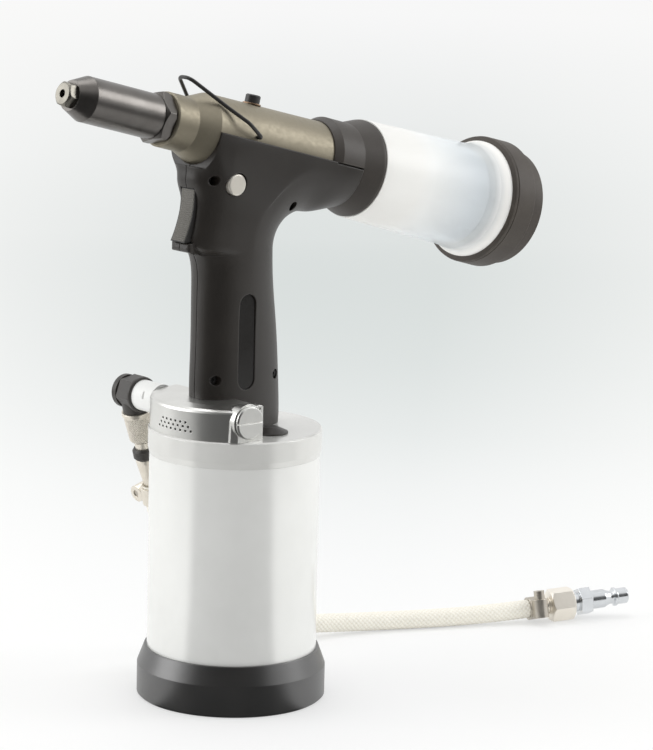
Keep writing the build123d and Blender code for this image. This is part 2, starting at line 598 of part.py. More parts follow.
# Trigger: slides in the grip, a cross pin in its long slot keeps it
face_curve = Spline((-37.7, 0, TRIGGER_TOP), (-38.2, 0, 297.5), (-38.9, 0, 291), (-40.9, 0, 283.5),
                    (-43.4, 0, 277), (-45.4, 0, TRIGGER_LOW))
trigger_back = Polyline((-45.4, 0, TRIGGER_LOW), (-38.4, 0, TRIGGER_LOW), (TRIGGER_BACK_X, 0, 284.4),
                        (TRIGGER_BACK_X, 0, 290),
                        (-28.2, 0, 295.6), (-28.2, 0, 301), (-30.4, 0, TRIGGER_TOP), (-37.7, 0, TRIGGER_TOP))
trigger = extrude(make_face([face_curve, trigger_back]), TRIGGER_HALF, both=True)
pin_room = TRIGGER_PIN_R + RUN
for x in (TRIGGER_PIN_X, TRIGGER_PIN_X - TRIGGER_STROKE):
    trigger -= along_y(x, TRIGGER_PIN_Z, -20, 20, pin_room)
trigger -= box(TRIGGER_PIN_X - TRIGGER_STROKE, TRIGGER_PIN_X, -20, 20,
               TRIGGER_PIN_Z - pin_room, TRIGGER_PIN_Z + pin_room)
save(trigger, "trigger")
save(along_y(TRIGGER_PIN_X, TRIGGER_PIN_Z, -10, 10, TRIGGER_PIN_R), "trigger_pin")

# Pilot valve on the oil tube, with the pin the trigger pushes
pin_z = 281.0
valve_front = -27.0
valve_body = rod(pin_z - 5, pin_z + 5, 14.6) + box(valve_front, 0, -5, 5, pin_z - 5, pin_z + 5)
valve_body -= rod(pin_z - 6, pin_z + 6, TUBE_R)
valve_body -= along_x(0, pin_z, valve_front - 1, -13.4, 2.0 + RUN)
save(valve_body, "pilot_valve_body")
pin_tip = TRIGGER_BACK_X + GAP
valve_pin = along_x(0, pin_z, pin_tip + 1.2, -17.4, 2.0) + along_x(0, pin_z, pin_tip, pin_tip + 1.4, 3.4)
save(valve_pin, "valve_pin")
spring_place = Plane(origin=(valve_front, 0, pin_z), x_dir=(0, 1, 0), z_dir=(-1, 0, 0)).location
save(spring_place * coil(0, valve_front - pin_tip - 1.4, 2.75, 0.35, 3), "valve_pin_spring")

# Suction valve and its push button on the left side
suction_half = 7.0
shoulder_y = -12.4
suction = box(BUTTON_X - 5.4, -10, -suction_half, suction_half, BUTTON_Z - 4, BUTTON_Z + 4.6)
suction -= rod(250, 330, BOSS_R)
stem_r = 3.0
suction -= along_y(BUTTON_X, BUTTON_Z, -10, 6, stem_r + RUN)
save(suction, "suction_valve_body")
button = along_y(BUTTON_X, BUTTON_Z, BUTTON_FACE_Y, shoulder_y, BUTTON_R)
button = chamfer(button.edges().sort_by(Axis.Y)[0], 0.6)
button += along_y(BUTTON_X, BUTTON_Z, shoulder_y, 2.4, stem_r)
save(button, "suction_button")
suction_spring = coil(suction_half, -shoulder_y, 4.6, 0.35, 3)
button_place = Plane(origin=(BUTTON_X, 0, BUTTON_Z), x_dir=(1, 0, 0), z_dir=(0, -1, 0)).location
save(button_place * suction_spring, "suction_spring")

# Valve block on the cover in front of the grip
plan = box(-60, BLOCK_BACK_X, -BLOCK_END, BLOCK_FAR, COVER_TOP_Z, BLOCK_TOP_Z)
arc_body = plan & turned([(COVER_TOP_Z, 0), (COVER_TOP_Z, BLOCK_ARC_R), (BLOCK_TOP_Z - 3.4, BLOCK_ARC_R),
                          (BLOCK_TOP_Z - 2.2, BLOCK_ARC_R - 0.6), (BLOCK_TOP_Z - 1.2, BLOCK_ARC_R - 2.0),
                          (BLOCK_TOP_Z, BLOCK_ARC_R - 9), (BLOCK_TOP_Z, 0)])
boss_in = -BLOCK_END + 6
boss_end = SPOOL * turned([(-BLOCK_END, 0), (-BLOCK_END, RIDGE_R), (boss_in, RIDGE_R), (boss_in + 9, 7.8),
                           (boss_in + 9, 0)])
foot_line = Polyline((SPOOL_X - RIDGE_R, 0, SPOOL_Z), (SPOOL_X - RIDGE_R - 0.4, 0, COVER_TOP_Z),
                     (BLOCK_BACK_X, 0, COVER_TOP_Z), (BLOCK_BACK_X, 0, SPOOL_Z), close=True)
foot = Pos(0, -BLOCK_END, 0) * extrude(make_face(foot_line), 30, dir=(0, 1, 0)) & rod(100, 200, COVER_R + 0.4)
corner = box(SPOOL_X, BLOCK_BACK_X, -BLOCK_END, boss_in, COVER_TOP_Z, BLOCK_TOP_Z + 0.8)
corner = fillet(corner.edges().filter_by(Axis.Y).group_by(Axis.Z)[-1].sort_by(Axis.X)[-1], 1.6)
back = box(SPOOL_X, BLOCK_BACK_X, -BLOCK_END, BLOCK_FAR, COVER_TOP_Z, SPOOL_Z)
block = arc_body + foot + corner + back + (boss_end & box(-60, BLOCK_BACK_X, -60, 60, COVER_TOP_Z, 200))
block -= SPOOL * rod(-BLOCK_END - 1, BLOCK_END + 1, SPOOL_R)
block -= along_y(-15.7, 179.4, -BLOCK_END - 1, -BLOCK_END + 2, 0.8)
silencer_low = COVER_TOP_Z + 3
silencer_high = 172.6
chamber = box(-60, SILENCER_BACK_X, -17.5, 12.5, silencer_low, silencer_high) & rod(100, 200, SILENCER_R)
block -= chamber
block -= box(-60, SILENCER_BACK_X - 3, -17.5, 12.5, COVER_TOP_Z - 1, silencer_low) & rod(100, 200, SILENCER_R)
for row in range(3):
    count = 6 + row
    level = 170.7 - 2.45 * row
    for k in range(count):
        around = math.radians(175.4) + PERF_PITCH / BLOCK_ARC_R * (k - (count - 1) / 2)
        outward = (math.cos(around), -math.sin(around), 0)
        hole = Plane(origin=(0, 0, level), x_dir=(0, 0, 1), z_dir=outward).location
        block -= hole * rod(SILENCER_R - 2, CYL_R + 1, PERF_R)
save(block, "valve_block")
save(chamber, "silencer_insert")

# Slotted end plug, spool and spring, all about the spool axis
plug = turned([(PLUG_FACE_Y, 0), (PLUG_FACE_Y, PLUG_R - 0.8), (PLUG_FACE_Y + 0.8, PLUG_R),
               (-BLOCK_END, PLUG_R),
               (-BLOCK_END, SPOOL_R), (PLUG_IN_Y, SPOOL_R), (PLUG_IN_Y, 0)])
plug -= box(-12, 12, -0.5, 0.5, PLUG_FACE_Y - 1, PLUG_FACE_Y + 1.2)
save(SPOOL * plug, "end_plug")
spool_low = -16.0
spool_high = 28.0
land = SPOOL_R - RUN
spool = turned([(spool_low, 0), (spool_low, land), (-6, land), (-6, 3.8), (2, 3.8), (2, land), (12, land),
                (12, 3.8),
                (19, 3.8), (19, land), (spool_high, land), (spool_high, 0)])
save(SPOOL * spool, "valve_spool")
save(SPOOL * coil(PLUG_IN_Y, spool_low, 4.6, 0.7, 5), "spool_spring")

# Inlet: spigot through the white sleeve into the swivel elbow
inlet = turned([(BLOCK_FAR - 7, 3.5), (BLOCK_FAR - 7, SPOOL_R), (BLOCK_FAR, SPOOL_R),
                (BLOCK_FAR, SPIGOT_IN_R), (SWIVEL_END - 2, SPIGOT_IN_R),
                (SWIVEL_END - 2, 3.5)])
inlet -= Pos(0, 0, SWIVEL_Y) * Rot(90, 0, 0) * Cylinder(2.5, 30)
save(SPOOL * inlet, "inlet_spigot")
sleeve = SPOOL * tube(BLOCK_FAR, SLEEVE_END, SLEEVE_R, SPIGOT_IN_R) - box(-35, -31.4, 45, 46.4, 172.9, 176.9)
save(sleeve, "inlet_sleeve")
swivel = turned([(SLEEVE_END, 0), (SLEEVE_END, SWIVEL_R - 0.6), (SLEEVE_END + 0.8, SWIVEL_R),
                 (SLEEVE_END + 2.2, SWIVEL_R),
                 (SLEEVE_END + 2.8, SWIVEL_R - 0.6), (SLEEVE_END + 2.8, SWIVEL_R - 1.6),
                 (SWIVEL_END - 4.4, SWIVEL_R - 2),
                 (SWIVEL_END - 4.4, SWIVEL_R - 0.6), (SWIVEL_END - 0.8, SWIVEL_R - 0.6),
                 (SWIVEL_END, SWIVEL_R - 1.6),
                 (SWIVEL_END, 0)])
swivel += hexagon(SLEEVE_END + 2, SWIVEL_END - 5.4, SWIVEL_AF, 49)
elbow = SPOOL * swivel + DROP * rod(0, KNURL_TOP, 8.4)
elbow -= SPOOL * rod(SLEEVE_END - 1, SWIVEL_END - 2, SPIGOT_IN_R)
elbow -= DROP * rod(SPIGOT_IN_R - 2, KNURL_TOP + 1, 4.0)
save(elbow, "swivel_elbow")
knurl = turned([(KNURL_TOP, 3.0), (KNURL_TOP, KNURL_R_TOP), (KNURL_TOP + 2.4, KNURL_R_TOP + 0.2),
                (KNURL_TOP + 2.6, KNURL_R_TOP - 0.3), (KNURL_END - 2, KNURL_R_END),
                (KNURL_END, KNURL_R_END - 2),
                (KNURL_END, 5.4), (DARK_RING_TOP, 5.4), (DARK_RING_TOP, 3.0)])
save(DROP * knurl, "knurled_coupling")
dark_ring = turned([(DARK_RING_TOP, 3.0), (DARK_RING_TOP, DARK_RING_R - 1.2),
                    (DARK_RING_TOP + 1.6, DARK_RING_R),
                    (DARK_RING_END - 1.2, DARK_RING_R), (DARK_RING_END, DARK_RING_R - 1),
                    (DARK_RING_END, 3.0)])
save(DROP * dark_ring, "coupling_ring")
tail_r = HOSE_BORE_R
tail = turned([(DARK_RING_END, 2.4), (DARK_RING_END, TAPER_R_TOP), (DARK_RING_END + 2.4, TAPER_R_TOP),
               (TAPER_END, TAPER_R_END), (HOSE_START, TAPER_R_END), (HOSE_START, tail_r),
               (HOSE_START + 16, tail_r),
               (HOSE_START + 16, 2.4)])
save(DROP * tail, "hose_tail")

# Hose: straight runs joined by tangent arcs, from the hanging tail to the loose end on the floor
far_heading = math.radians(-23.2)
far_rise = math.radians(4.2)
far_way = Vector(math.cos(far_heading) * math.cos(far_rise), math.sin(far_heading) * math.cos(far_rise),
                 math.sin(far_rise))
far_start = Vector(253.0, 6.0, 8.4)
FAR = Plane(origin=far_start, x_dir=(0, 0, 1), z_dir=far_way).location
hose_end = 12.0
hose_points = [(DROP * Pos(0, 0, HOSE_START)).position, (DROP * Pos(0, 0, 153)).position, Vector(80, 69, 12),
               Vector(152, 51.8, HOSE_R), Vector(205, 26.4, HOSE_R), far_start - far_way * 16,
               far_start + far_way * hose_end]
hose_radii = []
for k in range(1, len(hose_points) - 1):
    before = hose_points[k] - hose_points[k - 1]
    after = hose_points[k + 1] - hose_points[k]
    turn = math.radians(before.get_angle(after))
    short = min(before.length, after.length)
    hose_radii.append(min(0.45 * short / math.tan(turn / 2), 600))
print("hose radii", [round(r, 1) for r in hose_radii])
hose_line = FilletPolyline(*hose_points, radius=hose_radii)
hose_section = Plane(origin=hose_line @ 0, z_dir=hose_line % 0) * (Circle(HOSE_R) - Circle(HOSE_BORE_R))
hose = sweep(hose_section, hose_line)
expected = math.pi * (HOSE_R ** 2 - HOSE_BORE_R ** 2) * hose_line.length
print("hose length", round(hose_line.length, 1), "volume ratio", round(hose.volume / expected, 4))
save(hose, "hose")


def hose_clamp(start, way, side):
    """Band round the hose with a screw housing on one side; the housing's screw is a solid of its own."""
    middle = start + CLAMP_W / 2
    turn = Rot(0, 0, way)
    axis_r = CLAMP_R + 2.2
    barrel = turn * Pos(CLAMP_R + 1.6, 0, middle) * Rot(90, 0, 0) * Cylinder(5.2, CLAMP_BARREL)
    lug = turn * Pos(CLAMP_R - 0.2, 0, middle) * Box(4, 10, 8)
    band = tube(start, start + CLAMP_W, CLAMP_R, HOSE_R)
    band += (barrel + lug) - rod(start - 5, start + CLAMP_W + 5, HOSE_R)
    band -= turn * Pos(axis_r, 0, middle) * Rot(90, 0, 0) * Cylinder(2.2, 40)
    screw = turn * Pos(axis_r, 2 * side, middle) * Rot(90, 0, 0) * Cylinder(2.2, 15)
    head_y = (CLAMP_BARREL + CLAMP_HEAD_T) / 2
    screw += turn * Pos(axis_r, head_y * side, middle) * Rot(90, 0, 0) * Cylinder(3.4, CLAMP_HEAD_T)
    screw -= turn * Pos(axis_r, (head_y + CLAMP_HEAD_T / 2) * side, middle) * Box(0.8, 1.6, 8)
    return band, screw


near_clamp, near_screw = hose_clamp(HOSE_START + 1.5, 0, 1)
save(DROP * near_clamp, "tool_end_clamp")
far_clamp, far_screw = hose_clamp(0, 78, -1)
save(FAR * far_clamp, "plug_end_clamp")
save(Compound(children=[DROP * near_screw, FAR * far_screw]), "clamp_screws")

# Far end: ribbed nipple, union nut, plug
nipple = turned([(hose_end - 16, 2.6), (hose_end - 16, tail_r), (hose_end, tail_r), (hose_end, 5.2),
                 (13.6, 5.2), (13.6, 4.4),
                 (14.2, 4.4), (14.2, 5.2), (17, 5.2), (17, 7.6), (21, 7.6), (21, 2.6)])
save(FAR * nipple, "hose_nipple")
nut_low = 15.0
nut_high = 30.6
neck_r = 6.0
union_limit = turned([(nut_low, 0), (nut_low, FAR_NUT_AF / 2 - 0.4), (nut_low + 1.2, FAR_NUT_AF / 2 + 1.6),
                      (nut_high - 1.2, FAR_NUT_AF / 2 + 1.6), (nut_high, FAR_NUT_AF / 2 - 0.4),
                      (nut_high, 0)])
union = hexagon(nut_low, nut_high, FAR_NUT_AF, 30) & union_limit
union -= rod(nut_low - 1, 17, 5.2) + rod(17, 21, 7.6) + rod(21, nut_high + 1, neck_r)
save(FAR * union, "union_nut")
plug_hex = 35.0
shank = plug_hex + 7.6
air_plug = hexagon(plug_hex, shank, PLUG_HEX_AF, 5.5) + turned([
    (21, 0), (21, neck_r), (plug_hex, neck_r), (plug_hex, 0)])
air_plug += turned([(shank, 0), (shank, PLUG_SHANK_R), (shank + 10, PLUG_SHANK_R), (shank + 12.4, 4.9),
                    (shank + 14.2, 4.3), (shank + 16, 4.3), (shank + 17, 6.0), (shank + 18.4, 6.0),
                    (shank + 19, 5.2),
                    (shank + 25.6, 5.2), (shank + 26.4, 4.4), (shank + 26.4, 0)])
air_plug -= rod(20, shank + 30, 2.6)
save(FAR * air_plug, "air_plug")

# Vent cap on the cover beside the grip
vent = turned([(COVER_TOP_Z, 0), (COVER_TOP_Z, 10.6), (COVER_TOP_Z + 1.0, 10.6), (COVER_TOP_Z + 3.3, 5.6),
               (COVER_TOP_Z + 3.7, 4.6),
               (COVER_TOP_Z + 3.7, 0)])
save(Pos(3.2, -27.4, 0) * vent, "vent_cap")
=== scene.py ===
import bpy
import json
import math
import numpy as np
from mathutils import Matrix, Vector

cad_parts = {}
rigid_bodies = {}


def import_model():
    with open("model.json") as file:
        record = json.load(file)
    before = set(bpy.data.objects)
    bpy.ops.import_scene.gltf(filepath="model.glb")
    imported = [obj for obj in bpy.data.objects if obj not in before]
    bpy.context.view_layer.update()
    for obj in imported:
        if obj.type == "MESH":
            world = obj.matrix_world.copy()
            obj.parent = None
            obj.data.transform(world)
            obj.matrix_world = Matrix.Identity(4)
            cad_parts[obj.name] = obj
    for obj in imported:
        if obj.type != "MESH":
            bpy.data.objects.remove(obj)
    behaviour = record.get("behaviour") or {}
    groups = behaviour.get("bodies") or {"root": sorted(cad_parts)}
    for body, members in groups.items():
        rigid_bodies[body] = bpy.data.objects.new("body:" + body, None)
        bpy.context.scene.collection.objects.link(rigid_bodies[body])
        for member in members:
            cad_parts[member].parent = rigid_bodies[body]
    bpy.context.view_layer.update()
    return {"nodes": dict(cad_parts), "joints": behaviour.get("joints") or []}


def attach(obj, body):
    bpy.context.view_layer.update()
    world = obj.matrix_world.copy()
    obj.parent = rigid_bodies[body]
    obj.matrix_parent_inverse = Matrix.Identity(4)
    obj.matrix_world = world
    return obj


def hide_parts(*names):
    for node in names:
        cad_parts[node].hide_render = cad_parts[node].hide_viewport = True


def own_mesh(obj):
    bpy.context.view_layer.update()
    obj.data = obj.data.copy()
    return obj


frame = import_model()
nodes = frame["nodes"]
scene = bpy.context.scene
scene.view_settings.view_transform = "Standard"

# Camera, as fitted to the photograph
EYE = Vector((-1.18944, -1.42457, 0.55253))
RIGHT = Vector((0.751943, -0.658818, 0.023244))
AHEAD = Vector((0.650227, 0.735409, -0.190729))
ABOVE = Vector((0.108562, 0.158532, 0.981367))
LENS = 155.94
SENSOR_WIDTH = 36.0
CLIP_END = 60.0

# Head axis, towards the nose
TILT = math.radians(14.55)
NOSE = Vector((-math.cos(TILT), 0, math.sin(TILT)))
HEAD_ORIGIN = Vector((0, 0, 0.3286))

# Finishes: the part of a noise's range that counts, and where an edge starts and ends being worn and carrying
# a painted highlight
CLOUD_RANGE = (0.35, 0.65)
NOISE_RANGE = (0.3, 0.7)
EDGE_RANGE = (0.99, 0.86)
PATCHY_WEAR_AND_HIGHLIGHT = (0.35, 1.0)
BEVEL_SAMPLES = 4

# Jar wall: from and to, back along the head axis, and how opaque it is there
JAR_CLEARS = (0.128, 0.176)
JAR_ALPHA = (0.74, 0.42)
JAR_LIP = (0.179, 0.187)
JAR_LIP_ALPHA = 0.5
# Where a painted bluish shade of the jar's shadowed inside fades in, and where it fades out before the lip
JAR_SHADE_BLUE_IN = (0.118, 0.165)
JAR_SHADE_BLUE_OUT = (0.178, 0.186)
JAR_ROUGH = (0.36, 0.44)

# Hose: down from the elbow, along the floor and up a little to the plug
DROP_ORIGIN = Vector((-0.024, 0.0657, 0.1724))
DROP = Vector((0.3, 0.07, -1.0)).normalized()
HOSE_START = 0.061
DROP_END = 0.153
FAR_ORIGIN = Vector((0.253, 0.006, 0.0084))
FAR_HEADING = math.radians(-23.2)
FAR_RISE = math.radians(4.2)
FAR = Vector((math.cos(FAR_HEADING) * math.cos(FAR_RISE), math.sin(FAR_HEADING) * math.cos(FAR_RISE),
              math.sin(FAR_RISE)))
FAR_RUN = 0.016
HOSE_END = 0.012
HOSE_R = 0.006
ROUTE = [
    DROP_ORIGIN + DROP * HOSE_START,
    DROP_ORIGIN + DROP * DROP_END,
    Vector((0.08, 0.069, 0.012)),
    Vector((0.152, 0.0518, HOSE_R)),
    Vector((0.205, 0.0264, HOSE_R)),
    FAR_ORIGIN - FAR * FAR_RUN,
    FAR_ORIGIN + FAR * HOSE_END,
]
HOSE_STEP = 0.0003
HOSE_AROUND = 132
BRAID_BUNDLES = 12
BRAID_PITCH = 0.0031
BRAID_DEPTH = 0.0005
BRAID_LEVEL = 0.6
BRAID_WEAVE = 0.4
# Braid height over which the painted shade of its hollows fades out
BRAID_HOLLOW_SHADE = (0.25, 0.7)
HOSE_ROUGH = (0.42, 0.55)

# Trigger's face from top to foot, as height and place, and the ribs across it
FACE = [(0.3032, -0.0377), (0.2975, -0.0382), (0.291, -0.0389), (0.2835, -0.0409), (0.277, -0.0434),
        (0.2729, -0.0454)]
FACE_SCALE = 60.0
FACE_INSET = 0.0006
FACE_STEPS = 420
RIB_PITCH = 0.00115
RIB_HEIGHT = 0.0003
RIB_HALF = 0.0056
RIB_LIFT = 0.00008
RIB_SINK = 0.0003
RIB_ACROSS = [(-1.0, -0.6), (-1.0, 0.0), (-0.97, 0.75), (-0.9, 1.0), (0.9, 1.0), (0.97, 0.75), (1.0, 0.0),
              (1.0, -0.6)]

# Knurled coupling: outline as place along the drop and radius, and the grooves on its taper
KNURL_FROM = 0.0143
KNURL_TO = 0.03
KNURL = [(0.0113, 0.003), (0.0113, 0.0092), (0.0115, 0.0094), (0.0135, 0.0096), (0.0137, 0.0095),
         (0.0139, 0.0089), (KNURL_FROM, 0.0089), (KNURL_TO, 0.0078), (0.0306, 0.0074), (0.0318, 0.0062),
         (0.032, 0.0054), (0.036, 0.0054), (0.036, 0.003)]
KNURL_TEETH = 34
KNURL_AROUND = KNURL_TEETH * 8
KNURL_STEPS = 90
KNURL_MEAN_R = 0.0085
KNURL_DEPTH = 0.0004
GROOVE_SHARE = 0.6
GROOVE_SLOPE = 1.6

# Floor: its size, the painted shade some way behind the tool, its glow and its dark front in reflections
FLOOR_HALF = 14.0
FLOOR_DROP = 0.0002
FLOOR_LENGTH = 5.0
FLOOR_SHADE_LEVELS = [(0.0, 0.95), (0.06, 0.91), (0.11, 0.85), (0.15, 0.78), (0.21, 0.72), (0.3, 0.7), (0.36, 0.73),
                (0.6, 0.84), (1.0, 0.97)]
GREEN_KEPT = 0.16
BLUE_KEPT = 0.12
EYE_BACK = 1.87
GREY_BEARING = 0.02
GREY_EDGE = (0.03, 0.13)
GREY_FADE = 0.75
GLOW_DEPTH = (0.2, 2.5)
GLOW_SHARE = (0.55, 0.94)
FRONT_REACH = (0.6, 1.1)
FRONT_SHARE = 0.9
FRONT_HALF = (-0.1, 0.15)

# Studio: the dark side in reflections, the strength as light and as background, and the lamps
DARK_FROM = 0.54
DARK_TO = 0.66
DARK_SHARE = 0.93
STUDIO_LIGHT = 0.72
STUDIO_SHOWN = 0.95
LAMP_AIM = Vector((0, 0, 0.2))
LAMPS = [
    ("top_light", (0.2, 0.4, 1.9), 1.2, 8.0),
    ("left_light", (-1.25, 1.0, 0.8), 1.3, 9.0),
    ("right_light", (1.45, -1.05, 1.15), 1.1, 11.5),
]


def add_object(name, data):
    """New object in the scene."""
    thing = bpy.data.objects.new(name, data)
    scene.collection.objects.link(thing)
    return thing


def make_camera():
    """The camera that sees what the photograph shows."""
    data = bpy.data.cameras.new("camera")
    data.lens = LENS
    data.sensor_width = SENSOR_WIDTH
    data.clip_end = CLIP_END
    camera = add_object("camera", data)
    turn = Matrix((RIGHT, ABOVE, -AHEAD)).transposed().to_4x4()
    camera.matrix_world = Matrix.Translation(EYE) @ turn
    scene.camera = camera


# Material helpers
def new_material(name):
    mat = bpy.data.materials.new(name)
    mat.use_nodes = True
    tree = mat.node_tree
    return mat, tree, tree.nodes["Principled BSDF"]


def object_place(tree):
    """The place on the object, in metres."""
    return tree.nodes.new("ShaderNodeTexCoord").outputs["Object"]


def noise(tree, where, scale, detail=3.0, rough=0.5):
    node = tree.nodes.new("ShaderNodeTexNoise")
    node.inputs["Scale"].default_value = scale
    node.inputs["Detail"].default_value = detail
    node.inputs["Roughness"].default_value = rough
    tree.links.new(where, node.inputs["Vector"])
    return node.outputs["Fac"]


def span(tree, value, low, high, to_low, to_high):
    """Maps a value from one range to another, held at the ends."""
    node = tree.nodes.new("ShaderNodeMapRange")
    node.inputs["From Min"].default_value = low
    node.inputs["From Max"].default_value = high
    node.inputs["To Min"].default_value = to_low
    node.inputs["To Max"].default_value = to_high
    tree.links.new(value, node.inputs["Value"])
    return node.outputs["Result"]


def mix(tree, factor, first, second):
    """Mixes two colours, each a tuple or a socket, by the node's colour sockets."""
    node = tree.nodes.new("ShaderNodeMix")
    node.data_type = "RGBA"
    tree.links.new(factor, node.inputs[0])
    for socket, value in ((6, first), (7, second)):
        if isinstance(value, tuple):
            node.inputs[socket].default_value = (*value, 1.0)
        else:
            tree.links.new(value, node.inputs[socket])
    return node.outputs[2]


def math_node(tree, kind, first, second=0.0):
    """One step of arithmetic on two values, each a number or a socket."""
    node = tree.nodes.new("ShaderNodeMath")
    node.operation = kind
    for k, value in enumerate((first, second)):
        if isinstance(value, (int, float)):
            node.inputs[k].default_value = value
        else:
            tree.links.new(value, node.inputs[k])
    return node.outputs["Value"]


def vector_node(tree, kind, where, way=(0, 0, 0)):
    """One step of arithmetic on a place and a fixed direction."""
    node = tree.nodes.new("ShaderNodeVectorMath")
    node.operation = kind
    node.inputs[1].default_value = way
    tree.links.new(where, node.inputs[0])
    return node


def along_way(tree, where, way):
    """How far a place lies along a direction."""
    return vector_node(tree, "DOT_PRODUCT", where, way).outputs["Value"]


def add_relief(tree, shader, height, strength, depth, normal=None):
    """Bump on the shader, on top of another normal if one is given."""
    relief = tree.nodes.new("ShaderNodeBump")
    relief.inputs["Strength"].default_value = strength
    relief.inputs["Distance"].default_value = depth
    tree.links.new(height, relief.inputs["Height"])
    if normal:
        tree.links.new(normal, relief.inputs["Normal"])
    tree.links.new(relief.outputs["Normal"], shader.inputs["Normal"])


def surface(name, color, second, metal=0.0, rough=0.5, spread=0.06, grain=900.0, bump=0.15, depth=0.00015,
            cloud=35.0, edge_wear_and_highlight=None, bevel=0.0005, shine=0.5, ior=1.5):
    """Procedural finish: cloudy tint, grain in gloss and relief, softened edges made lighter by slight wear
    and by a painted highlight.
    """
    mat, tree, shader = new_material(name)
    shader.inputs["Metallic"].default_value = metal
    shader.inputs["Specular IOR Level"].default_value = shine
    shader.inputs["IOR"].default_value = ior
    where = object_place(tree)
    clouds = noise(tree, where, cloud, detail=4.0, rough=0.6)
    fine = noise(tree, where, grain, detail=2.0)
    tint = mix(tree, span(tree, clouds, *CLOUD_RANGE, 0.0, 1.0), color, second)
    rounded = tree.nodes.new("ShaderNodeBevel")
    rounded.samples = BEVEL_SAMPLES
    rounded.inputs["Radius"].default_value = bevel
    # Lighter edges: partly real wear, partly a painted highlight along rims and rounded edges
    if edge_wear_and_highlight:
        flat = tree.nodes.new("ShaderNodeNewGeometry")
        compare = vector_node(tree, "DOT_PRODUCT", rounded.outputs["Normal"])
        tree.links.new(flat.outputs["Normal"], compare.inputs[1])
        worn_and_lit_edge = span(tree, compare.outputs["Value"], *EDGE_RANGE, 0.0, 1.0)
        patchy_wear_and_highlight = math_node(tree, "MULTIPLY", worn_and_lit_edge, span(tree, clouds, *NOISE_RANGE, *PATCHY_WEAR_AND_HIGHLIGHT))
        tint = mix(tree, patchy_wear_and_highlight, tint, edge_wear_and_highlight)
    tree.links.new(tint, shader.inputs["Base Color"])
    roughness = span(tree, fine, *NOISE_RANGE, rough - spread, rough + spread)
    tree.links.new(roughness, shader.inputs["Roughness"])
    add_relief(tree, shader, fine, bump, depth, rounded.outputs["Normal"])
    return mat


def milky_plastic():
    """Translucent jar wall: denser in front, clearer towards the rear with a painted bluish shade of its
    shadowed inside, thick at the lip.
    """
    mat, tree, shader = new_material("milky_jar")
    where = object_place(tree)
    clouds = noise(tree, where, 30.0)
    tree.links.new(span(tree, clouds, *NOISE_RANGE, *JAR_ROUGH), shader.inputs["Roughness"])
    back = math_node(tree, "SUBTRACT", along_way(tree, where, -NOSE), HEAD_ORIGIN.dot(-NOSE))
    wall = span(tree, back, *JAR_CLEARS, *JAR_ALPHA)
    lip = span(tree, back, *JAR_LIP, 0.0, JAR_LIP_ALPHA)
    shader.inputs["Alpha"].default_value = 0.5
    tree.links.new(math_node(tree, "ADD", wall, lip), shader.inputs["Alpha"])
    warm = mix(tree, clouds, (0.975, 0.968, 0.935), (0.992, 0.986, 0.958))
    # Painted bluish shade of the shadowed inside, towards the rear and ending at the lip
    shade_blue_rising = span(tree, back, *JAR_SHADE_BLUE_IN, 0.0, 1.0)
    painted_shade_blue = math_node(tree, "MULTIPLY", shade_blue_rising, span(tree, back, *JAR_SHADE_BLUE_OUT, 1.0, 0.0))
    tree.links.new(mix(tree, painted_shade_blue, warm, (0.9, 0.96, 1.0)), shader.inputs["Base Color"])
    add_relief(tree, shader, noise(tree, where, 700.0, detail=2.0), strength=0.1, depth=0.0002)
    return mat


def braided_plastic():
    """Cream hose, with painted shade in the hollows of its braid."""
    mat, tree, shader = new_material("braided_hose")
    height = tree.nodes.new("ShaderNodeAttribute")
    height.attribute_name = "braid"
    clouds = noise(tree, object_place(tree), 90.0)
    cream = mix(tree, clouds, (0.91, 0.88, 0.79), (0.96, 0.94, 0.86))
    painted_hollow_shade = span(tree, height.outputs["Fac"], *BRAID_HOLLOW_SHADE, 0.0, 1.0)
    # Painted shade in the braid's hollows
    tree.links.new(mix(tree, painted_hollow_shade, (0.82, 0.77, 0.66), cream), shader.inputs["Base Color"])
    tree.links.new(span(tree, clouds, *NOISE_RANGE, *HOSE_ROUGH), shader.inputs["Roughness"])
    return mat


# Finishes
rubber = surface("boot_rubber", (0.008, 0.008, 0.0075), (0.016, 0.015, 0.014), rough=0.33, spread=0.03,
                 grain=1500, bump=0.05, edge_wear_and_highlight=(0.03, 0.03, 0.028), shine=0.9, ior=1.75)
anodised = surface("satin_anodised", (0.82, 0.825, 0.803), (0.865, 0.87, 0.848), metal=0.27, rough=0.2,
                   spread=0.012, grain=140, bump=0.02, cloud=18, edge_wear_and_highlight=(0.95, 0.95, 0.94))
cover_metal = surface("cover_metal", (0.7, 0.7, 0.675), (0.76, 0.76, 0.735), metal=0.28, rough=0.2,
                      spread=0.012, grain=160, bump=0.02, cloud=18, edge_wear_and_highlight=(0.95, 0.95, 0.94))
casting = surface("satin_casting", (0.66, 0.66, 0.635), (0.74, 0.74, 0.715), metal=1.0, rough=0.32,
                  spread=0.012, grain=200, bump=0.01, edge_wear_and_highlight=(0.9, 0.9, 0.88))
head_metal = surface("head_anodised", (0.252, 0.226, 0.17), (0.286, 0.258, 0.196), metal=0.8, rough=0.5,
                     grain=400, bump=0.02, cloud=25, edge_wear_and_highlight=(0.42, 0.39, 0.32))
dark_steel = surface("dark_steel", (0.135, 0.127, 0.119), (0.165, 0.156, 0.147), metal=1.0, rough=0.32,
                     spread=0.02, grain=220, bump=0.01, cloud=60, edge_wear_and_highlight=(0.26, 0.25, 0.235))
shell_plastic = surface("grip_plastic", (0.017, 0.0138, 0.011), (0.022, 0.0182, 0.0146), rough=0.4,
                        grain=2600, bump=0.2, depth=0.0001, cloud=22, edge_wear_and_highlight=(0.055, 0.05, 0.046), bevel=0.0011)
